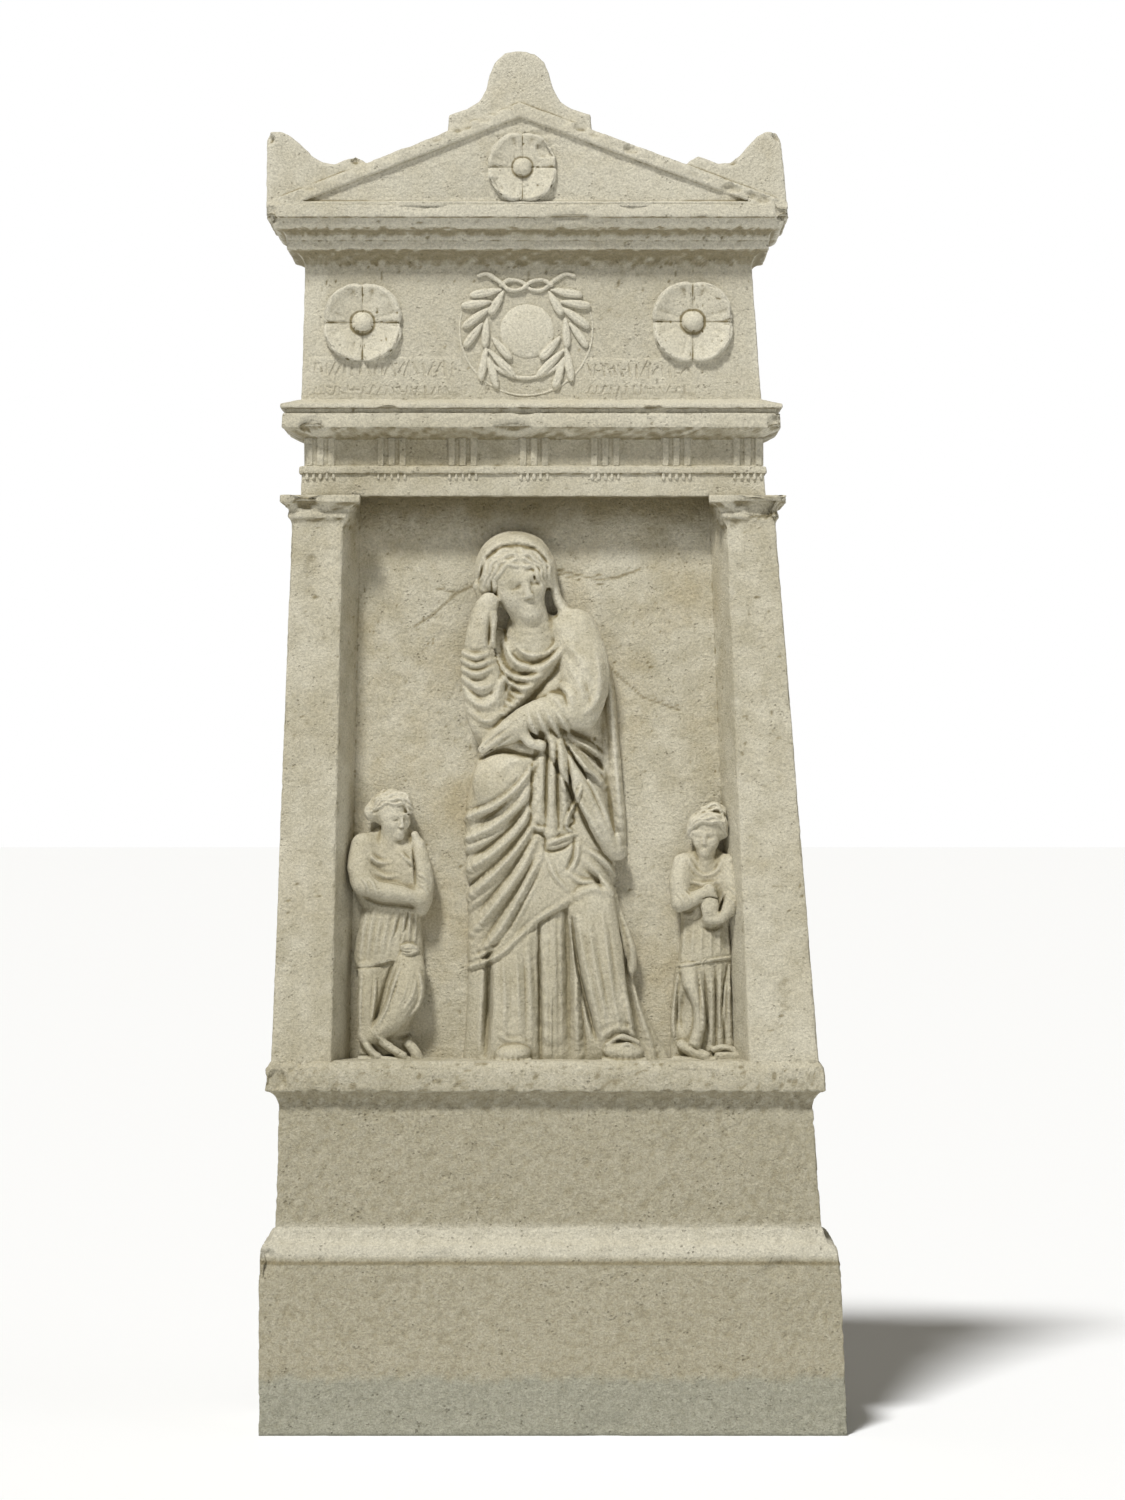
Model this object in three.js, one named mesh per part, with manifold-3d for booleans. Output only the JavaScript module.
// A marble grave stele shaped as a small temple front, all of one block.
// Millimetres, +Z up, the carved front towards -Y, the origin under the middle of the foot.
import * as THREE from 'three';
import { mergeVertices } from 'three/addons/utils/BufferGeometryUtils.js';
import Module from 'manifold-3d';

const wasm = await Module();
wasm.setup();

// Plan of the block at its foot
const FOOT_WIDTH = 637;
const DEPTH = 190;
const FOOT_RIGHT_SLANT = 7.6; // how far the foot's right end leans in at its top arris
const DADO_INSET_LEFT = 17.2;
const DADO_INSET_RIGHT = 27;
const DADO_INSET_FRONT = 17.4;

// Inward lean of the sides and the front, for each millimetre of height
const LEAN_LEFT = 0.0287;
const LEAN_RIGHT = 0.0704;
const LEAN_FRONT = 0.024;

// Heights of the courses, from the ground up
const BASE_HEIGHT = 186;
const BASE_MOULDING_HEIGHT = 37;
const BASE_FILLET_HEIGHT = 7;
const DADO_HEIGHT = 129;
const DADO_COVE_HEIGHT = 20;
const LEDGE_HEIGHT = 24;
const LEDGE_SLOPE_HEIGHT = 8.6;
const SHAFT_HEIGHT = 579.4;
const CAPITAL_HEIGHT = 35;
const ARCHITRAVE_HEIGHT = 24;
const TAENIA_HEIGHT = 9;
const TRIGLYPH_HEIGHT = 29;
const GEISON_SOFFIT_HEIGHT = 11;
const GEISON_FACE_HEIGHT = 16;
const GEISON_GROOVE_HEIGHT = 5;
const GEISON_FILLET_HEIGHT = 5;
const GEISON_SLOPE_HEIGHT = 5.5;
const PANEL_HEIGHT = 142.5;
const CORNICE_COVE_HEIGHT = 19.6;
const CORNICE_FILLET_HEIGHT = 9.5;
const CORNICE_CYMA_HEIGHT = 23.4;
const CROWN_HEIGHT = 14;
const GABLE_HEIGHT = 111;
const AKROTERION_HEIGHT = 167.5;

// How far each course stands out from the leaning faces of the block
const BASE_MOULDING_OUT = 16;
const BASE_MOULDING_MIDDLE_OUT = 10;
const DADO_ARRIS_OUT = 1.5;
const LEDGE_OUT = 15;
const SHAFT_OUT_FOOT = 9.5;
const SHAFT_OUT_NECK = 4.8;
const CAPITAL_FILLET_OUT = 9.8;
const ABACUS_OUT = 18.3;
const FRIEZE_OUT = -3.5;
const TAENIA_OUT = -0.5;
const METOPE_OUT = -6.5;
const GEISON_OUT = 18.5;
const GEISON_GROOVE_OUT = 14.5;
const GEISON_FILLET_OUT = 21;
const PANEL_OUT = -1;
const CORNICE_FILLET_OUT = 18.6;
const CORNICE_CYMA_OUT = 37;
const CROWN_OUT = 41.5;

// The recess and the pilasters beside it
const PILASTER_FOOT_LEFT = 65;
const PILASTER_FOOT_RIGHT = 75;
const PILASTER_NECK_LEFT = 55;
const PILASTER_NECK_RIGHT = 53.3;
const RECESS_DEPTH = 51;
const JAMB_SPLAY = 17;
const CAPITAL_RETURN = 19;
// Levels within the capital, in shares of its height
const CAPITAL_FILLET_FOOT = 0.3;
const CAPITAL_FILLET_TOP = 0.45;
const ABACUS_FOOT = 0.76;
const CAPITAL_BREAK_WIDTH = 41;
const CAPITAL_BREAK_DEPTH = 3;
const CAPITAL_BREAK_INSET = 12; // from the opening to the break
const GEISON_CHIP_OFFSET = -41;
const GEISON_CHIP_WIDTH = 33;
const GEISON_CHIP_HEIGHT = 9;

// Carved ornament
const TRIGLYPH_COUNT = 7;
const TRIGLYPH_WIDTH = 36;
const GLYPH_DEPTH = 2.4;
const GUTTA_COUNT = 4;
const GUTTA_LENGTH = 5.5;
const ROSETTE_RADIUS = 46;
const ROSETTE_INSET_LEFT = 65;
const ROSETTE_INSET_RIGHT = 70;
const ROSETTE_RISE = 9;
const GABLE_ROSETTE_RADIUS = 39.5;
const GABLE_ROSETTE_HEIGHT = 40;
const GABLE_ROSETTE_RISE = 6;
const WREATH_RADIUS = 72;
const WREATH_OFFSET = -29.4;
const WREATH_RISE = 6;
const RAKE_THICKNESS = 14.5;
const GABLE_SINK = 5;
const AKROTERION_SPAN = 112;
const AKROTERION_LEAN_RIGHT = 8;

// The figures
const HEADROOM = 36;
const WOMAN_OFFSET = 3.8;
const LEFT_ATTENDANT_HEIGHT = 303.5;
const LEFT_ATTENDANT_INSET = 64;
const RIGHT_ATTENDANT_HEIGHT = 279.5;
const RIGHT_ATTENDANT_INSET = 45.7;
const WOMAN_RELIEF = 48;
const ATTENDANT_RELIEF = 35;

// Small steps: between levels that nearly meet, and how deep one carved thing sits in another
const ARRIS = 0.3;
const EMBEDDED = 3;

const TUBE_FINENESS = 0.58; // lengths of tube for each gap between stations

const STONE_COLOUR = 0xc6bfa8;
const STONE_ROUGHNESS = 0.9;

// Levels that follow from the heights
const dadoFootZ = BASE_HEIGHT + BASE_MOULDING_HEIGHT;
const coveFootZ = dadoFootZ + DADO_HEIGHT;
const ledgeFootZ = coveFootZ + DADO_COVE_HEIGHT;
const ledgeTopZ = ledgeFootZ + LEDGE_HEIGHT;
const floorZ = ledgeTopZ + LEDGE_SLOPE_HEIGHT;
const neckZ = floorZ + SHAFT_HEIGHT;
const ceilingZ = neckZ + CAPITAL_HEIGHT;
const taeniaZ = ceilingZ + ARCHITRAVE_HEIGHT;
const triglyphZ = taeniaZ + TAENIA_HEIGHT;
const soffitZ = triglyphZ + TRIGLYPH_HEIGHT;
const geisonZ = soffitZ + GEISON_SOFFIT_HEIGHT;
const grooveZ = geisonZ + GEISON_FACE_HEIGHT;
const filletZ = grooveZ + GEISON_GROOVE_HEIGHT;
const slopeZ = filletZ + GEISON_FILLET_HEIGHT;
const panelZ = slopeZ + GEISON_SLOPE_HEIGHT;
const corniceZ = panelZ + PANEL_HEIGHT;
const corniceFilletZ = corniceZ + CORNICE_COVE_HEIGHT;
const cymaZ = corniceFilletZ + CORNICE_FILLET_HEIGHT;
const crownZ = cymaZ + CORNICE_CYMA_HEIGHT;
const gableZ = crownZ + CROWN_HEIGHT;
const backY = DEPTH / 2;

// A closed, outward-facing geometry becomes a solid that can be joined and cut.
function solid(geometry) {
  const bare = geometry.clone();
  bare.deleteAttribute('normal');
  bare.deleteAttribute('uv');
  const merged = mergeVertices(bare, 1e-4);
  const source = merged.index.array;
  const triVerts = [];
  for (let i = 0; i < source.length; i += 3) {
    const [a, b, c] = [source[i], source[i + 1], source[i + 2]];
    if (a !== b && b !== c && c !== a) triVerts.push(a, b, c);
  }
  return new wasm.Manifold(new wasm.Mesh({
    numProp: 3,
    vertProperties: new Float32Array(merged.attributes.position.array),
    triVerts: new Uint32Array(triVerts),
  }));
}

function geometryOf(manifold) {
  const mesh = manifold.getMesh();
  const geometry = new THREE.BufferGeometry();
  geometry.setAttribute('position', new THREE.BufferAttribute(new Float32Array(mesh.vertProperties), 3));
  geometry.setIndex(new THREE.BufferAttribute(new Uint32Array(mesh.triVerts), 1));
  geometry.computeVertexNormals();
  return geometry;
}

function join(solids) {
  return solids.reduce((whole, next) => whole.add(next));
}

// Closed rings of equal length, one after another, skinned and capped at both ends.
// Seen from the end they lead to, the rings run counter-clockwise.
function loft(rings) {
  const count = rings[0].length;
  const points = rings.flat();
  const middle = (ring) => ring.reduce((sum, p) => sum.add(p), new THREE.Vector3()).divideScalar(count);
  const first = points.length;
  points.push(middle(rings[0]), middle(rings[rings.length - 1]));
  const index = [];
  for (let i = 0; i + 1 < rings.length; i++) {
    for (let j = 0; j < count; j++) {
      const [a, b] = [i * count + j, i * count + (j + 1) % count];
      index.push(a, b, b + count, a, b + count, a + count);
    }
  }
  const last = (rings.length - 1) * count;
  for (let j = 0; j < count; j++) {
    index.push(first, (j + 1) % count, j);
    index.push(first + 1, last + j, last + (j + 1) % count);
  }
  const geometry = new THREE.BufferGeometry().setFromPoints(points);
  geometry.setIndex(index);
  return solid(geometry);
}

// The plain leaning block: its left, right and front faces at a height
const sinceDado = (z) => z - dadoFootZ;
const leftX = (z) => -FOOT_WIDTH / 2 + DADO_INSET_LEFT + LEAN_LEFT * sinceDado(z);
const rightX = (z) => FOOT_WIDTH / 2 - DADO_INSET_RIGHT - LEAN_RIGHT * sinceDado(z);
const frontY = (z) => -DEPTH / 2 + DADO_INSET_FRONT + LEAN_FRONT * sinceDado(z);

function plan(z, left, right, front, back) {
  return [[left, front], [right, front], [right, back], [left, back]]
    .map(([x, y]) => new THREE.Vector3(x, y, z));
}

// One level of the block, standing out evenly from its left, right and front faces
function course([z, out]) {
  return plan(z, leftX(z) - out, rightX(z) + out, frontY(z) - out, backY);
}

// Quarter rounds between two levels: a cove turns outwards at its top, a swell at its foot
function cove([z0, out0], [z1, out1], steps) {
  return sample(steps, (t) => [
    z0 + (z1 - z0) * Math.sin(t * Math.PI / 2),
    out0 + (out1 - out0) * (1 - Math.cos(t * Math.PI / 2)),
  ]);
}

function swell([z0, out0], [z1, out1], steps) {
  return sample(steps, (t) => [
    z0 + (z1 - z0) * (1 - Math.cos(t * Math.PI / 2)),
    out0 + (out1 - out0) * Math.sin(t * Math.PI / 2),
  ]);
}

function sample(steps, value) {
  return Array.from({ length: steps + 1 }, (_, i) => value(i / steps));
}

function block() {
  const mouldingFootZ = BASE_HEIGHT + BASE_FILLET_HEIGHT;
  const mouldingMiddleZ = (mouldingFootZ + dadoFootZ - 1) / 2;
  const capitalFilletZ = neckZ + CAPITAL_HEIGHT * CAPITAL_FILLET_FOOT;
  const capitalFilletTopZ = neckZ + CAPITAL_HEIGHT * CAPITAL_FILLET_TOP;
  const abacusZ = neckZ + CAPITAL_HEIGHT * ABACUS_FOOT;
  const cymaMiddleZ = cymaZ + CORNICE_CYMA_HEIGHT / 2;
  const cymaMiddleOut = (CORNICE_FILLET_OUT + CORNICE_CYMA_OUT) / 2;
  const profile = [
    [mouldingFootZ - ARRIS, BASE_MOULDING_OUT],
    ...cove([mouldingFootZ, BASE_MOULDING_OUT], [mouldingMiddleZ, BASE_MOULDING_MIDDLE_OUT], 3),
    ...swell([mouldingMiddleZ + ARRIS, BASE_MOULDING_MIDDLE_OUT - ARRIS],
      [dadoFootZ - 1, DADO_ARRIS_OUT], 3),
    [dadoFootZ, 0],
    ...cove([coveFootZ, 0], [ledgeFootZ, LEDGE_OUT - 1], 4),
    [ledgeFootZ + ARRIS, LEDGE_OUT],
    [ledgeTopZ, LEDGE_OUT],
    [floorZ, SHAFT_OUT_FOOT],
    ...cove([neckZ, SHAFT_OUT_NECK], [capitalFilletZ, CAPITAL_FILLET_OUT], 2),
    [capitalFilletTopZ, CAPITAL_FILLET_OUT],
    ...cove([capitalFilletTopZ + ARRIS, CAPITAL_FILLET_OUT - 1.5], [abacusZ, ABACUS_OUT - 2], 2),
    [abacusZ + ARRIS, ABACUS_OUT],
    [ceilingZ, ABACUS_OUT],
    [ceilingZ + ARRIS, FRIEZE_OUT],
    [taeniaZ, FRIEZE_OUT],
    [taeniaZ + ARRIS, TAENIA_OUT],
    [triglyphZ - 1, TAENIA_OUT],
    [triglyphZ, METOPE_OUT],
    [soffitZ, METOPE_OUT],
    [geisonZ, GEISON_OUT - 1],
    [geisonZ + ARRIS, GEISON_OUT],
    [grooveZ - ARRIS, GEISON_OUT],
    [grooveZ, GEISON_GROOVE_OUT],
    [filletZ, GEISON_GROOVE_OUT],
    [filletZ + ARRIS, GEISON_FILLET_OUT],
    [slopeZ, GEISON_FILLET_OUT],
    [panelZ, PANEL_OUT + 3],
    [panelZ + ARRIS, PANEL_OUT],
    ...cove([corniceZ, PANEL_OUT], [corniceFilletZ, CORNICE_FILLET_OUT - 2], 4),
    [corniceFilletZ + ARRIS, CORNICE_FILLET_OUT],
    [cymaZ, CORNICE_FILLET_OUT],
    ...cove([cymaZ + ARRIS, CORNICE_FILLET_OUT + 1], [cymaMiddleZ, cymaMiddleOut], 3),
    ...swell([cymaMiddleZ + ARRIS, cymaMiddleOut + ARRIS], [crownZ, CORNICE_CYMA_OUT], 3),
    [crownZ + ARRIS, CROWN_OUT],
    [gableZ, CROWN_OUT],
  ];
  const footLevel = (z, slant) =>
    plan(z, -FOOT_WIDTH / 2, FOOT_WIDTH / 2 - slant, -DEPTH / 2, backY);
  return loft([
    footLevel(0, 0),
    footLevel(BASE_HEIGHT, FOOT_RIGHT_SLANT),
    ...profile.map(course),
  ]);
}

// The back wall of the recess leans with the front.
const wallY = (z) => frontY(z) - SHAFT_OUT_NECK + RECESS_DEPTH;
const openingLeft = (z) => leftX(z) - lerpOut(z) + lerpUp(z, PILASTER_FOOT_LEFT, PILASTER_NECK_LEFT);
const openingRight = (z) => rightX(z) + lerpOut(z) - lerpUp(z, PILASTER_FOOT_RIGHT, PILASTER_NECK_RIGHT);

function lerpUp(z, foot, neck) {
  return foot + (neck - foot) * (z - floorZ) / SHAFT_HEIGHT;
}

function lerpOut(z) {
  return lerpUp(z, SHAFT_OUT_FOOT, SHAFT_OUT_NECK);
}

function recess() {
  const before = SHAFT_OUT_FOOT + 20;
  const level = (z, inward) => {
    const splay = JAMB_SPLAY / RECESS_DEPTH;
    const [left, right] = [openingLeft(z) + inward, openingRight(z) - inward];
    const front = frontY(z) - before;
    const reach = before * splay;
    return [
      new THREE.Vector3(left - reach, front, z),
      new THREE.Vector3(right + reach, front, z),
      new THREE.Vector3(right - JAMB_SPLAY, wallY(z), z),
      new THREE.Vector3(left + JAMB_SPLAY, wallY(z), z),
    ];
  };
  const inner = cove([neckZ, 0.2], [neckZ + CAPITAL_HEIGHT * 0.7, CAPITAL_RETURN * 0.8], 3);
  return loft([
    level(floorZ, 0),
    level(neckZ, 0),
    ...inner.map(([z, inward]) => level(z, inward)),
    level(neckZ + CAPITAL_HEIGHT * 0.75, CAPITAL_RETURN),
    level(ceilingZ, CAPITAL_RETURN),
  ]);
}

// Prism of an outline drawn in x and z, from a front depth to a back depth
function prism(points, front, back) {
  const shape = new THREE.Shape(points.map(([x, z]) => new THREE.Vector2(x, z)));
  const geometry = new THREE.ExtrudeGeometry(shape, { depth: back - front, bevelEnabled: false });
  geometry.rotateX(Math.PI / 2);
  geometry.translate(0, back, 0);
  return solid(geometry);
}

// The front face of a course at a height
const faceY = (z, out) => frontY(z) - out;

// The broken front of the right capital, and the chip out of the geison's middle
function breaks() {
  const broken = (x, z, width, tall, face, depth) => {
    const outline = [[0, 0.08], [0.3, 0], [0.72, 0.06], [1, 0.3], [0.9, 0.86], [0.5, 1], [0.1, 0.84]];
    const points = outline.map(([across, up]) => [x + width * across, z + tall * up]);
    return prism(points, face - GEISON_FILLET_OUT - EMBEDDED, face + depth);
  };
  const capitalX = openingRight(neckZ) + CAPITAL_BREAK_INSET;
  const capitalFace = faceY(ceilingZ, SHAFT_OUT_NECK);
  const chipX = GEISON_CHIP_OFFSET - GEISON_CHIP_WIDTH / 2;
  const chipFace = faceY(geisonZ, GEISON_OUT);
  return join([
    broken(capitalX, neckZ, CAPITAL_BREAK_WIDTH, CAPITAL_HEIGHT * 0.94, capitalFace, -CAPITAL_BREAK_DEPTH),
    broken(chipX, geisonZ - 1, GEISON_CHIP_WIDTH, GEISON_CHIP_HEIGHT, chipFace, EMBEDDED),
  ]);
}

function triglyphs() {
  const z0 = triglyphZ - 0.6;
  const z1 = soffitZ + 1.5;
  const middle = (z0 + z1) / 2;
  const face = faceY(middle, FRIEZE_OUT);
  const back = faceY(middle, METOPE_OUT) + 2;
  const half = TRIGLYPH_WIDTH / 2;
  const glyph = TRIGLYPH_WIDTH / 6;
  const bar = (x, step) => [[x, face], [x + step, face], [x + 1.5 * step, face + GLYPH_DEPTH]];
  const section = [
    [-half, face + GLYPH_DEPTH],
    ...bar(-half + glyph / 2, glyph),
    ...bar(-glyph / 2, glyph),
    ...bar(half - 1.5 * glyph, glyph),
    [half, back],
    [-half, back],
  ];
  const guttae = [[-half, taeniaZ + 3], [half, taeniaZ + 3]];
  const pitch = TRIGLYPH_WIDTH / GUTTA_COUNT;
  for (let i = 0; i < GUTTA_COUNT; i++) {
    const right = half - i * pitch;
    guttae.push([right - pitch * 0.4, taeniaZ - GUTTA_LENGTH], [right - pitch * 0.9, taeniaZ - 1]);
  }
  const first = leftX(middle) - FRIEZE_OUT + TRIGLYPH_WIDTH * 0.55;
  const last = rightX(middle) + FRIEZE_OUT - TRIGLYPH_WIDTH * 0.45;
  const gap = (last - first) / (TRIGLYPH_COUNT - 1);
  const pieces = [];
  for (let i = 0; i < TRIGLYPH_COUNT; i++) {
    const x = first + i * gap;
    const rings = [z0, z1].map((z) => section.map(([dx, y]) => new THREE.Vector3(x + dx, y, z)));
    pieces.push(loft(rings));
    const drop = guttae.map(([dx, z]) => [x + dx, z]).reverse();
    pieces.push(prism(drop, faceY(taeniaZ, TAENIA_OUT) - 0.6, faceY(taeniaZ, METOPE_OUT)));
  }
  return join(pieces);
}

// A flower of four dished petals round a boss: its outline is notched where petals meet.
function rosette(x, z, radius, rise, face) {
  const around = 16;
  const petals = 4;
  const rows = [0.14, 0.24, 0.8, 1];
  const groove = (angle) => Math.abs(Math.sin(angle * petals / 2)) ** 0.35;
  const height = (share, angle) => {
    if (share < 0.2) return rise * 1.25;
    const dish = rise * (0.5 + 0.42 * share * share);
    return share > 0.95 ? dish * 0.8 : dish * (0.55 + 0.45 * groove(angle));
  };
  const ring = (share, depthOf) => sample(around - 1, (t) => {
    const angle = t * (around - 1) / around * Math.PI * 2;
    const reach = radius * share * (share > 0.5 ? 0.93 + 0.07 * groove(angle) : 1);
    const [across, up] = [reach * Math.cos(angle), reach * Math.sin(angle)];
    return new THREE.Vector3(x + across, face - depthOf(angle), z + up);
  });
  const front = rows.slice().reverse().map((share) => ring(share, (angle) => height(share, angle)));
  return loft([ring(1, () => -EMBEDDED), ...front]);
}

// A leaf with a raised rib, pointed at both ends
function leaf(x0, z0, x1, z1, width, rise, face) {
  const along = new THREE.Vector2(x1 - x0, z1 - z0);
  const across = new THREE.Vector2(along.y, -along.x).normalize().multiplyScalar(width / 2);
  const at = (share, side, depth) => new THREE.Vector3(
    x0 + along.x * share + across.x * side, face - depth, z0 + along.y * share + across.y * side);
  const section = (share, half, depth) =>
    [at(share, half, -2), at(share, -half, -2), at(share, 0, depth)];
  return loft([section(0, 0.3, rise * 0.5), section(0.55, 1, rise), section(1, 0.2, rise * 0.6)]);
}

// Roots and tips of one side's leaves, in shares of the wreath's radius from its middle
const WREATH_LEAVES = [
  [0.38, 0.59, 0.82, 0.51], [0.53, 0.41, 0.95, 0.35], [0.54, 0.32, 0.93, 0.04],
  [0.66, 0.08, 0.91, -0.25], [0.34, 0.56, 0.53, 0.24], [0.59, 0.15, 0.62, -0.25],
  [0.60, -0.29, 0.68, -0.76], [0.51, -0.13, 0.24, -0.43], [0.56, -0.32, 0.18, -0.71],
  [0.57, -0.44, 0.44, -0.88],
];
const WREATH_TIE = [
  [-0.72, 0.78], [-0.56, 0.82], [-0.36, 0.68], [-0.2, 0.57], [0, 0.62], [0.2, 0.74], [0.38, 0.64],
];

function wreath() {
  const z = panelZ + PANEL_HEIGHT / 2 + 6;
  const face = faceY(z, PANEL_OUT);
  const r = WREATH_RADIUS;
  const pieces = [dome(WREATH_OFFSET, z, r * 0.4, WREATH_RISE * 0.7, face)];
  for (const side of [-1, 1]) {
    for (const [x0, z0, x1, z1] of WREATH_LEAVES) {
      const [rootX, tipX] = [WREATH_OFFSET + side * r * x0, WREATH_OFFSET + side * r * x1];
      pieces.push(leaf(rootX, z + r * z0, tipX, z + r * z1, r * 0.14, WREATH_RISE, face));
    }
    const tie = WREATH_TIE.map(([x, up]) => ({
      centre: new THREE.Vector3(WREATH_OFFSET + side * r * x, face, z + r * up),
      across: r * 0.035,
      depth: WREATH_RISE * 0.9,
    }));
    pieces.push(tube(tie, FOLD_SECTION, 1));
  }
  return join(pieces);
}

// A low round disc that swells a little towards its middle
function dome(x, z, radius, rise, face) {
  const outline = [[0, -EMBEDDED], [radius, -EMBEDDED], [radius, rise * 0.7], [radius * 0.8, rise],
    [0, rise * 1.1]];
  const geometry = new THREE.LatheGeometry(outline.map(([r, y]) => new THREE.Vector2(r, y)), 12);
  geometry.rotateX(Math.PI);
  geometry.translate(x, face, z);
  return solid(geometry);
}

// Sections of a limb and of a fold of cloth: shares of its half width and half depth
const LIMB_SECTION = sample(4, (t) => t * Math.PI * 1.6 - Math.PI / 2)
  .map((angle) => [Math.cos(angle), Math.sin(angle)]);
const FOLD_SECTION = [[0, -1], [1.25, 2], [-1.25, 2]];

// A tapered length of one section, through stations in the plane of the relief
function tube(stations, section, fineness) {
  const centres = new THREE.CatmullRomCurve3(stations.map((s) => s.centre));
  const sizes = new THREE.CatmullRomCurve3(stations.map((s) => new THREE.Vector3(s.across, s.depth, 0)));
  const lengths = Math.max(1, Math.round((stations.length - 1) * fineness));
  return loft(sample(lengths, (t) => {
    const centre = centres.getPoint(t);
    const tangent = centres.getTangent(t).setY(0).normalize();
    const size = sizes.getPoint(t);
    return section.map(([across, depth]) => new THREE.Vector3(
      centre.x + tangent.z * size.x * across,
      centre.y + size.y * depth,
      centre.z - tangent.x * size.x * across,
    ));
  }));
}

// Half outline of the middle akroterion, in shares of its half span and of its height
const MIDDLE_AKROTERION = [
  [1, 0.4], [0.98, 0.585], [0.72, 0.625], [0.56, 0.67], [0.46, 0.75], [0.41, 0.85], [0.34, 0.925],
  [0.2, 0.985], [0, 1],
];
// Corner akroterion from its outer edge inwards, in shares of its span and of its own height
const CORNER_AKROTERION = [
  [0, 0.9], [0.04, 1], [0.14, 1], [0.24, 0.93], [0.34, 0.8], [0.44, 0.66],
  [0.54, 0.58], [0.66, 0.56], [0.76, 0.62], [0.86, 0.66], [0.94, 0.6], [1, 0.5],
];
const CORNER_HEIGHT = 80;

function pediment() {
  const left = leftX(gableZ) - CROWN_OUT + 0.5;
  const right = rightX(gableZ) + CROWN_OUT - 0.5;
  const apexX = (left + right) / 2 - 8;
  const sunk = gableZ - EMBEDDED;
  const front = faceY(gableZ, CROWN_OUT) + 1;
  const foot = 2.5;
  const gable = prism([[left, sunk], [right, sunk], [right, gableZ + foot], [apexX, gableZ + GABLE_HEIGHT],
    [left, gableZ + foot]], front, backY);
  const slopeLeft = GABLE_HEIGHT / (apexX - left);
  const slopeRight = GABLE_HEIGHT / (right - apexX);
  const inset = RAKE_THICKNESS * 1.08;
  const field = prism([
    [left + (inset - foot) / slopeLeft, gableZ + 1], [right - (inset - foot) / slopeRight, gableZ + 1],
    [apexX, gableZ + GABLE_HEIGHT - inset],
  ], front - EMBEDDED, front + GABLE_SINK);
  const akroteriaFront = front + GABLE_SINK;
  const half = AKROTERION_SPAN * 0.7;
  const bothHalves = [
    ...MIDDLE_AKROTERION,
    ...MIDDLE_AKROTERION.slice(0, -1).reverse().map(([x, z]) => [-x, z]),
  ];
  const middle = bothHalves.map(([x, z]) => [apexX + x * half, gableZ + z * AKROTERION_HEIGHT]);
  const corner = (edge, side, lean) => {
    const points = [[edge, sunk], ...CORNER_AKROTERION.map(([x, z]) =>
      [edge + side * (x * AKROTERION_SPAN + lean * Math.min(z, 1) * (1 - x)), gableZ + z * CORNER_HEIGHT]),
    [edge + side * AKROTERION_SPAN, sunk]];
    return prism(side > 0 ? points.reverse() : points, akroteriaFront, backY);
  };
  const rosetteZ = gableZ + GABLE_ROSETTE_HEIGHT;
  return join([
    gable.subtract(field),
    prism(middle, akroteriaFront, backY),
    corner(left, 1, 0),
    corner(right, -1, AKROTERION_LEAN_RIGHT),
    rosette(apexX + 3, rosetteZ, GABLE_ROSETTE_RADIUS, GABLE_ROSETTE_RISE, akroteriaFront),
  ]);
}

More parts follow.
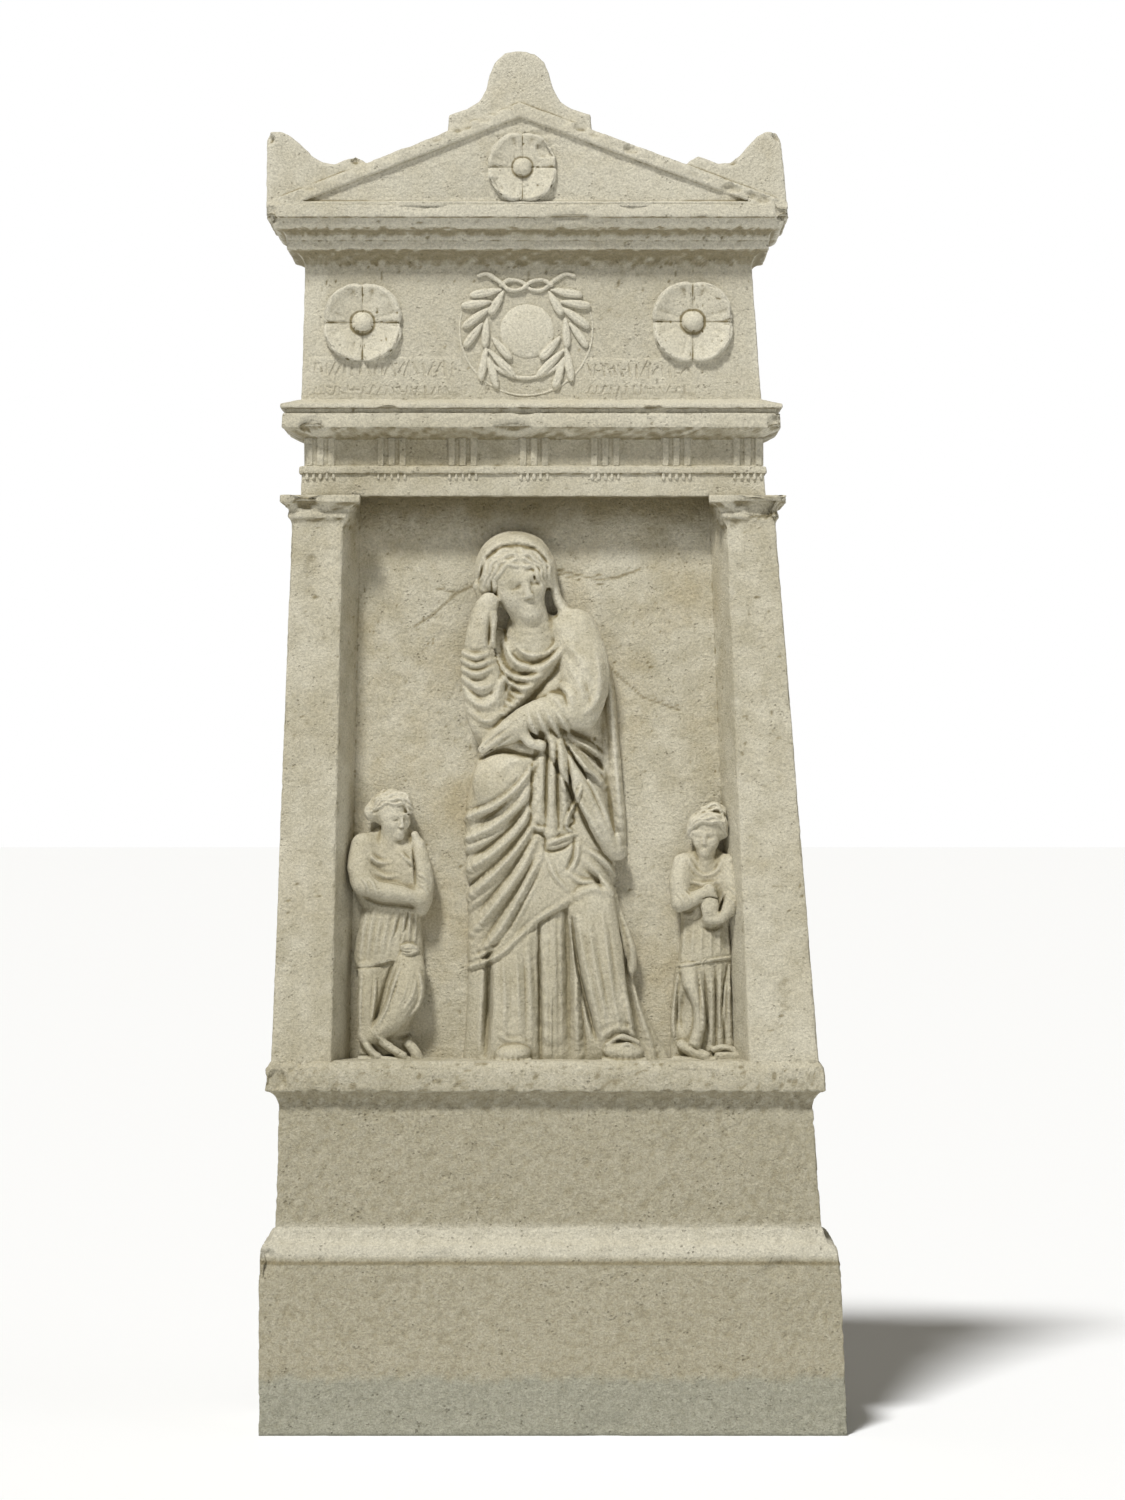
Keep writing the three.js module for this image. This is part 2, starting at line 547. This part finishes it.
// A figure in relief. Places across and up are thousandths of its own height, from the middle of
// its feet. How far things stand proud of the wall is in hundredths of the depth of its relief.
class Figure {
  constructor(centreX, footZ, height, relief) {
    this.centreX = centreX;
    this.footZ = footZ;
    this.unit = height / 1000;
    this.proudUnit = relief / 100;
    this.solids = [];
  }

  at(x, z, proud) {
    const worldZ = this.footZ + z * this.unit;
    return new THREE.Vector3(this.centreX + x * this.unit, wallY(worldZ) - proud * this.proudUnit, worldZ);
  }

  // A limb or fold through points [x, z, proud, half width, half depth]
  limb(points, section = LIMB_SECTION) {
    const stations = points.map(([x, z, proud, width, depth]) => ({
      centre: this.at(x, z, proud),
      across: width * this.unit,
      depth: depth * this.proudUnit,
    }));
    this.solids.push(tube(stations, section, TUBE_FINENESS));
  }

  folds(list) {
    for (const points of list) this.limb(points, FOLD_SECTION);
  }

  blob(x, z, proud, width, tall, depth, turn = 0, around = 6) {
    const geometry = new THREE.SphereGeometry(1, around, Math.round(around * 0.66));
    geometry.rotateX(Math.PI / 2);
    geometry.scale(width * this.unit, depth * this.proudUnit, tall * this.unit);
    geometry.rotateY(THREE.MathUtils.degToRad(turn));
    const centre = this.at(x, z, proud);
    geometry.translate(centre.x, centre.y, centre.z);
    this.solids.push(solid(geometry));
  }

  // Cloth from the wall out, through rows [left x, left z, right x, right z, proud, rise of the middle]
  garment(rows) {
    const across = 6;
    const rings = rows.map(([x0, z0, x1, z1, proud, bow = 0]) => {
      const front = sample(across, (t) => {
        const angle = t * Math.PI;
        const c = Math.cos(angle);
        const place = (1 - Math.sign(c) * Math.abs(c) ** 0.75) / 2;
        const bulge = Math.sin(angle) ** 0.6;
        const rise = bow * Math.sin(angle);
      return this.at(x0 + (x1 - x0) * place, z0 + (z1 - z0) * place + rise, proud * bulge - 1);
      });
      return [...front, this.at(x1, z1, -9), this.at(x0, z0, -9)];
    });
    this.solids.push(loft(rings));
  }

  // A head of calm, even features. The height is from chin to crown.
  head({ x, z, proud, height, roll, turn, depth }) {
    const tall = height * this.unit;
    const centre = this.at(x, z, proud);
    const place = new THREE.Matrix4().makeTranslation(centre.x, centre.y, centre.z)
      .multiply(new THREE.Matrix4().makeRotationY(THREE.MathUtils.degToRad(roll)))
      .multiply(new THREE.Matrix4().makeScale(1, depth, 1))
      .multiply(new THREE.Matrix4().makeRotationZ(THREE.MathUtils.degToRad(turn)))
      .multiply(new THREE.Matrix4().makeScale(tall, tall, tall));
    const ball = (cx, cy, cz, rx, ry, rz, around = 6) => {
      const geometry = new THREE.SphereGeometry(1, around, Math.round(around * 0.66));
      geometry.rotateX(Math.PI / 2);
      geometry.scale(rx, ry, rz);
      geometry.translate(cx, cy, cz);
      geometry.applyMatrix4(place);
      return solid(geometry);
    };
    const face = ball(0, 0, 0.12, 0.37, 0.42, 0.4, 7).add(ball(0, -0.09, -0.14, 0.27, 0.31, 0.34, 6));
    const features = [
      ball(0, -0.4, -0.05, 0.06, 0.1, 0.17, 4),
      ball(0, -0.35, 0.1, 0.26, 0.1, 0.05, 4),
      ball(0, -0.34, -0.27, 0.1, 0.08, 0.05, 4),
    ];
    this.solids.push(join([face, ...features]));
  }

  whole() {
    return join(this.solids);
  }
}

function woman() {
  const height = ceilingZ - HEADROOM - floorZ + EMBEDDED;
  const middle = (openingLeft(floorZ) + openingRight(floorZ)) / 2;
  const figure = new Figure(middle + WOMAN_OFFSET, floorZ - EMBEDDED, height, WOMAN_RELIEF);
  // Under-dress, down to the floor
  figure.garment([
    [-118, -4, 178, -4, 62], [-100, 40, 168, 40, 64], [-96, 120, 162, 120, 66], [-96, 200, 150, 200, 70],
    [-100, 260, 140, 330, 68],
  ]);
  // Mantle from the slanting hem up to the shoulders
  figure.garment([
    [-131, 176, 134, 318, 66, 24], [-133, 190, 136, 330, 78, 22], [-139, 300, 136, 390, 80, 8],
    [-149, 440, 124, 480, 82], [-139, 510, 118, 530, 84], [-120, 595, 110, 610, 76],
    [-112, 700, 104, 700, 66],
    [-100, 770, 100, 770, 62], [-82, 812, 84, 812, 56], [-50, 838, 52, 838, 40],
  ]);
  // Fall of the mantle down the back, low on the wall
  figure.garment([
    [90, 388, 158, 388, 16], [84, 570, 145, 570, 22], [76, 740, 124, 740, 24], [56, 838, 86, 838, 14],
  ]);
  // Upper arm, forearm and hand of the arm across the waist
  figure.limb([[62, 806, 50, 44, 36], [74, 750, 60, 46, 36], [66, 690, 66, 44, 34], [50, 662, 72, 38, 30]]);
  figure.limb([[58, 664, 70, 38, 32], [10, 652, 80, 36, 28], [-30, 640, 86, 30, 22], [-62, 622, 82, 24, 16],
    [-92, 600, 76, 16, 12], [-116, 584, 72, 7, 8]]);
  figure.folds([
    [[40, 640, 78, 7, 22], [10, 610, 84, 7, 18], [2, 596, 84, 5, 14]],
    [[22, 644, 82, 7, 22], [-4, 618, 86, 7, 18], [-8, 600, 84, 5, 14]],
    [[4, 648, 84, 6, 22], [-18, 622, 88, 7, 18], [-26, 596, 86, 9, 14]],
  ]);
  // Forearm raised to the cheek, wrapped in cloth
  figure.limb([[-118, 640, 46, 24, 30], [-126, 690, 50, 25, 30], [-128, 745, 54, 25, 30],
    [-127, 790, 60, 24, 28],
    [-118, 835, 66, 22, 24], [-106, 862, 70, 14, 18]]);
  figure.folds([
    [[-152, 764, 60, 5, 20], [-130, 756, 72, 7, 22], [-104, 762, 66, 6, 20]],
    [[-150, 744, 56, 5, 20], [-126, 738, 70, 6, 20], [-100, 746, 62, 6, 18]],
    [[-98, 826, 66, 7, 20], [-96, 790, 62, 7, 20], [-104, 765, 62, 6, 18]],
    [[-92, 800, 58, 5, 18], [-94, 750, 62, 5, 16], [-88, 705, 62, 6, 16]],
  ]);
  // Neckline and the folds that swing across the chest
  figure.folds([
    [[-72, 790, 56, 5, 18], [-50, 752, 70, 7, 20], [-14, 738, 76, 8, 18], [20, 764, 76, 7, 18],
      [54, 812, 60, 6, 18]],
    [[-60, 778, 52, 5, 16], [-30, 764, 68, 6, 16], [0, 764, 72, 6, 16], [34, 800, 66, 5, 16]],
    [[-84, 752, 60, 5, 18], [-70, 728, 68, 6, 18], [-52, 718, 72, 6, 16], [-14, 736, 76, 5, 14]],
    [[4, 742, 76, 8, 20], [-22, 700, 80, 9, 22], [-54, 656, 78, 9, 22], [-92, 622, 66, 8, 20],
      [-116, 600, 58, 5, 14]],
    [[-30, 706, 70, 5, 16], [-60, 690, 68, 7, 14], [-84, 664, 62, 7, 16], [-104, 630, 56, 6, 14]],
  ]);
  // Folds that fan from the wrist to the hip
  figure.folds([
    [[-12, 565, 80, 5, 14], [-62, 502, 88, 7, 14], [-104, 468, 80, 7, 16], [-149, 446, 44, 5, 18]],
    [[-14, 520, 84, 5, 14], [-50, 474, 90, 7, 14], [-92, 432, 84, 8, 16], [-143, 398, 46, 5, 18]],
    [[-16, 490, 86, 5, 14], [-46, 438, 92, 7, 14], [-90, 388, 84, 8, 16], [-140, 342, 44, 5, 18]],
    [[-14, 446, 88, 5, 14], [-50, 396, 92, 7, 14], [-88, 350, 84, 7, 16], [-134, 300, 46, 5, 18]],
    [[-2, 430, 88, 5, 14], [-36, 372, 92, 7, 12], [-74, 318, 88, 7, 14], [-116, 270, 62, 5, 16]],
    [[-14, 372, 88, 5, 12], [-54, 300, 90, 7, 12], [-80, 248, 84, 6, 14], [-108, 212, 66, 5, 14]],
  ]);
  // Roll of cloth from the wrist to the far knee, and the pointed folds above it
  figure.limb([[24, 604, 84, 16, 18], [48, 556, 90, 20, 18], [78, 496, 88, 22, 20], [108, 436, 74, 22, 24],
    [132, 396, 44, 16, 24]]);
  figure.folds([
    [[50, 612, 76, 4, 16], [82, 590, 72, 5, 18], [110, 568, 50, 4, 18]],
    [[58, 596, 80, 5, 14], [88, 560, 78, 6, 16], [116, 522, 52, 5, 18]],
  ]);
  // Pleated end of the mantle that hangs from the wrist
  figure.folds([
    [[0, 602, 88, 6, 16], [-4, 540, 94, 9, 16], [-6, 480, 96, 11, 16], [-6, 448, 94, 11, 14]],
    [[12, 600, 90, 7, 16], [16, 520, 98, 9, 14], [16, 450, 100, 10, 14], [14, 420, 98, 10, 12]],
    [[28, 596, 86, 6, 16], [36, 520, 92, 9, 14], [40, 470, 94, 10, 14], [44, 440, 92, 14, 12]],
    [[54, 510, 84, 6, 14], [50, 470, 90, 8, 12], [60, 442, 88, 9, 12]],
  ]);
  // Rolled edge of the slanting hem
  figure.folds([
    [[-128, 178, 58, 5, 12], [-92, 200, 76, 5, 12], [-44, 242, 82, 5, 12], [0, 276, 84, 5, 12],
      [54, 306, 82, 5, 12],
      [124, 314, 60, 5, 12]],
  ]);
  // Upright folds of the under-dress and the bent leg behind them
  figure.folds([
    [[-116, 186, 44, 14, 20], [-112, 100, 46, 15, 20], [-124, 20, 46, 20, 20]],
    [[-78, 196, 64, 9, 14], [-76, 120, 66, 9, 14], [-68, 56, 66, 9, 14]],
    [[-44, 232, 66, 22, 12], [-40, 140, 68, 24, 12], [-34, 30, 70, 22, 14]],
    [[16, 280, 68, 17, 14], [20, 160, 72, 18, 14], [24, -2, 76, 20, 14]],
  ]);
  figure.limb([[88, 300, 68, 34, 26], [98, 230, 72, 40, 26], [112, 150, 70, 40, 26],
    [128, 80, 66, 34, 24]]);
  figure.folds([
    [[50, 240, 64, 5, 14], [66, 160, 66, 6, 14], [84, 90, 64, 7, 14], [106, 40, 62, 7, 14]],
  ]);
  // Weighted corner of the mantle and the dress spread on the floor
  figure.folds([
    [[134, 300, 30, 7, 16], [150, 250, 34, 10, 18], [166, 210, 36, 14, 20], [170, 172, 34, 8, 16]],
    [[160, 120, 18, 14, 16], [176, 60, 22, 18, 18], [196, 4, 26, 20, 20]],
  ]);
  // Feet
  figure.blob(-54, 14, 74, 32, 16, 30);
  figure.blob(152, 16, 74, 38, 18, 34);
  figure.limb([[120, 40, 60, 8, 16], [146, 56, 76, 8, 16], [170, 44, 72, 8, 16]]);
  // Neck, head, hair and veil
  figure.limb([[-24, 790, 44, 42, 30], [-28, 850, 46, 34, 30], [-40, 890, 48, 34, 28]]);
  figure.blob(-54, 924, 26, 76, 76, 40, -8, 8);
  figure.blob(-50, 930, 48, 62, 52, 38, -12, 8);
  figure.head({ x: -48, z: 906, proud: 42, height: 148, roll: -15, turn: 12, depth: 0.5 });
  figure.folds([
    [[-46, 962, 84, 6, 14], [-80, 950, 80, 9, 16], [-106, 930, 68, 9, 18], [-120, 904, 48, 8, 18]],
    [[-46, 964, 84, 6, 14], [-16, 958, 80, 9, 16], [8, 934, 60, 8, 18]],
    [[14, 940, 36, 9, 24], [24, 880, 34, 8, 22], [60, 828, 36, 10, 20]],
  ]);
  return figure.whole();
}

function leftAttendant() {
  const centreX = openingLeft(floorZ) + LEFT_ATTENDANT_INSET;
  const figure = new Figure(centreX, floorZ - 2, LEFT_ATTENDANT_HEIGHT, ATTENDANT_RELIEF);
  // Skirt, then the overfold down to its hem, then the bloused chest
  figure.garment([
    [-112, 30, 60, 30, 40], [-104, 120, 70, 120, 50], [-112, 360, 112, 360, 56],
  ]);
  figure.garment([
    [-122, 320, 118, 366, 66, 10], [-98, 548, 102, 548, 68],
  ]);
  figure.garment([
    [-96, 536, 98, 536, 72], [-122, 590, 116, 590, 84], [-128, 660, 122, 660, 84],
      [-120, 730, 116, 730, 76],
    [-84, 800, 92, 800, 60], [-30, 850, 40, 850, 44],
  ]);
  // Arm folded across the waist, and the arm bent up beside it
  figure.limb([[-104, 772, 56, 42, 34], [-126, 700, 64, 38, 34], [-116, 640, 76, 34, 30]]);
  figure.limb([[-112, 640, 76, 32, 30], [-50, 614, 96, 30, 26], [20, 606, 102, 26, 22],
    [82, 606, 96, 20, 20]]);
  figure.limb([[118, 560, 60, 24, 28], [122, 640, 66, 26, 30], [116, 720, 66, 22, 28],
    [104, 780, 60, 16, 24]]);
  // Small bundle of cloth in the hand, and the folds of the overfold
  figure.blob(66, 396, 70, 34, 16, 22);
  figure.folds([
    [[-60, 540, 66, 6, 16], [-72, 460, 74, 8, 16], [-84, 340, 70, 9, 16]],
    [[-20, 540, 72, 6, 14], [-24, 450, 82, 9, 14], [-34, 356, 80, 10, 14]],
    [[20, 540, 74, 6, 14], [22, 460, 82, 8, 14], [16, 368, 80, 9, 14]],
    [[64, 540, 66, 6, 14], [70, 480, 78, 8, 16], [66, 414, 82, 8, 14]],
  ]);
  // Standing leg in shadow and the leg crossed in front of it
  figure.limb([[-44, 330, 52, 30, 26], [-62, 200, 52, 30, 26], [-74, 100, 50, 30, 24]]);
  figure.limb([[70, 366, 62, 42, 32], [66, 280, 76, 50, 34], [30, 200, 76, 46, 32],
    [-10, 130, 70, 38, 28], [-50, 90, 62, 32, 24]]);
  figure.folds([
    [[24, 350, 70, 6, 16], [-4, 262, 80, 7, 16], [-20, 190, 76, 7, 16]],
    [[-60, 108, 66, 8, 18], [-20, 74, 72, 9, 16], [20, 50, 62, 8, 16]],
  ]);
  figure.limb([[-90, 78, 50, 16, 20], [-52, 38, 58, 18, 18], [-20, 14, 62, 18, 16]]);
  figure.limb([[-10, 76, 46, 22, 20], [40, 46, 54, 20, 18], [80, 22, 58, 18, 16]]);
  // Neck, head, rolled hair and knot
  figure.limb([[-10, 770, 52, 34, 26], [0, 830, 54, 30, 26], [4, 870, 54, 28, 26]]);
  figure.head({ x: 8, z: 884, proud: 54, height: 170, roll: 12, turn: 24, depth: 0.46 });
  figure.folds([
    [[-62, 900, 66, 10, 22], [-40, 932, 78, 14, 24], [4, 930, 94, 12, 20], [52, 930, 88, 12, 20],
      [74, 900, 72, 9, 20]],
    [[-54, 944, 66, 10, 22], [-6, 962, 78, 13, 22], [44, 962, 74, 12, 22], [72, 936, 64, 9, 20]],
    [[-34, 962, 56, 9, 20], [10, 978, 58, 11, 22], [52, 968, 56, 9, 20]],
  ]);
  figure.blob(-72, 880, 48, 24, 26, 28);
  return figure.whole();
}

function rightAttendant() {
  const centreX = openingRight(floorZ) - RIGHT_ATTENDANT_INSET;
  const figure = new Figure(centreX, floorZ - 2, RIGHT_ATTENDANT_HEIGHT, ATTENDANT_RELIEF);
  figure.garment([
    [-126, -2, 118, -2, 44], [-118, 100, 112, 100, 46], [-106, 360, 102, 380, 54],
  ]);
  figure.garment([
    [-112, 352, 106, 374, 64, 6], [-94, 548, 98, 548, 64],
  ]);
  figure.garment([
    [-94, 540, 100, 540, 60], [-108, 620, 108, 620, 72], [-116, 700, 112, 700, 74],
      [-104, 760, 102, 760, 66],
    [-64, 806, 66, 806, 52], [-30, 836, 34, 836, 40],
  ]);
  // Both arms bent at the elbow, hands on a small casket
  figure.limb([[-92, 762, 52, 38, 30], [-112, 690, 60, 36, 32], [-106, 618, 70, 32, 28]]);
  figure.limb([[-104, 620, 72, 30, 28], [-64, 632, 88, 24, 22], [-24, 644, 92, 18, 18],
    [-2, 650, 88, 12, 16]]);
  figure.limb([[92, 762, 52, 34, 30], [106, 690, 60, 32, 32], [108, 620, 66, 28, 28],
    [96, 590, 72, 26, 26]]);
  figure.limb([[100, 640, 70, 26, 26], [80, 590, 84, 24, 24], [56, 548, 92, 20, 20],
    [26, 526, 90, 14, 16]]);
  figure.limb([[-12, 640, 76, 26, 24], [0, 585, 82, 36, 26], [6, 536, 78, 26, 22]]);
  figure.folds([
    [[-64, 640, 74, 6, 16], [-86, 560, 52, 6, 18], [-92, 470, 58, 8, 18], [-96, 372, 60, 9, 16]],
    [[-40, 540, 62, 7, 14], [-46, 450, 74, 9, 14], [-54, 366, 76, 10, 14]],
    [[0, 520, 62, 7, 14], [4, 440, 76, 9, 14], [2, 378, 76, 10, 14]],
    [[40, 500, 62, 7, 14], [52, 430, 74, 9, 14], [56, 386, 74, 10, 14]],
    [[80, 500, 56, 7, 14], [90, 440, 66, 8, 14], [94, 390, 64, 8, 14]],
  ]);
  // Skirt: the bent leg to the left, upright folds to the right
  figure.limb([[-60, 350, 58, 40, 28], [-58, 260, 66, 34, 30], [-40, 170, 60, 30, 26],
    [-66, 90, 54, 34, 24]]);
  figure.folds([
    [[-104, 330, 50, 10, 18], [-120, 210, 48, 10, 18], [-128, 100, 46, 14, 18]],
    [[-14, 350, 60, 9, 16], [-4, 220, 64, 12, 16], [6, 90, 62, 16, 16], [10, 20, 60, 18, 16]],
    [[52, 350, 58, 9, 16], [50, 220, 64, 11, 16], [44, 90, 58, 10, 14]],
    [[92, 350, 54, 9, 18], [84, 220, 62, 11, 18], [86, 90, 60, 12, 16], [90, 20, 58, 14, 16]],
  ]);
  figure.limb([[-90, 60, 52, 24, 20], [-50, 34, 60, 24, 20], [-10, 16, 60, 20, 18]]);
  figure.blob(50, 22, 60, 32, 20, 24);
  // Neck, head and high rolled hair
  figure.limb([[0, 760, 50, 32, 24], [2, 820, 52, 28, 24], [4, 860, 52, 28, 24]]);
  figure.head({ x: 6, z: 880, proud: 50, height: 168, roll: -4, turn: -10, depth: 0.46 });
  figure.folds([
    [[-64, 880, 62, 10, 20], [-60, 924, 70, 12, 22], [-20, 940, 88, 13, 20], [30, 938, 88, 12, 20],
      [68, 922, 74, 11, 20], [80, 880, 60, 9, 18]],
    [[-58, 944, 60, 10, 20], [-20, 966, 74, 13, 20], [30, 966, 76, 13, 20], [66, 944, 62, 10, 18]],
    [[-10, 980, 58, 10, 18], [30, 1000, 62, 15, 20], [70, 990, 58, 16, 20], [76, 952, 54, 12, 20]],
  ]);
  return figure.whole();
}

const panelMiddleZ = panelZ + PANEL_HEIGHT / 2 + 13;
const panelFace = faceY(panelMiddleZ, PANEL_OUT);
const leftRosetteX = leftX(panelMiddleZ) + ROSETTE_INSET_LEFT;
const rightRosetteX = rightX(panelMiddleZ) - ROSETTE_INSET_RIGHT;
const whole = join([
  block().subtract(recess()).subtract(breaks()),
  triglyphs(),
  rosette(leftRosetteX, panelMiddleZ, ROSETTE_RADIUS, ROSETTE_RISE, panelFace),
  rosette(rightRosetteX, panelMiddleZ, ROSETTE_RADIUS, ROSETTE_RISE, panelFace),
  wreath(),
  pediment(),
  woman(),
  leftAttendant(),
  rightAttendant(),
]);

const stone = new THREE.MeshStandardMaterial({
  color: STONE_COLOUR,
  roughness: STONE_ROUGHNESS,
  metalness: 0,
});
const mesh = new THREE.Mesh(geometryOf(whole), stone);
mesh.name = 'stele';

const stele = new THREE.Group();
stele.add(mesh);

export default stele;
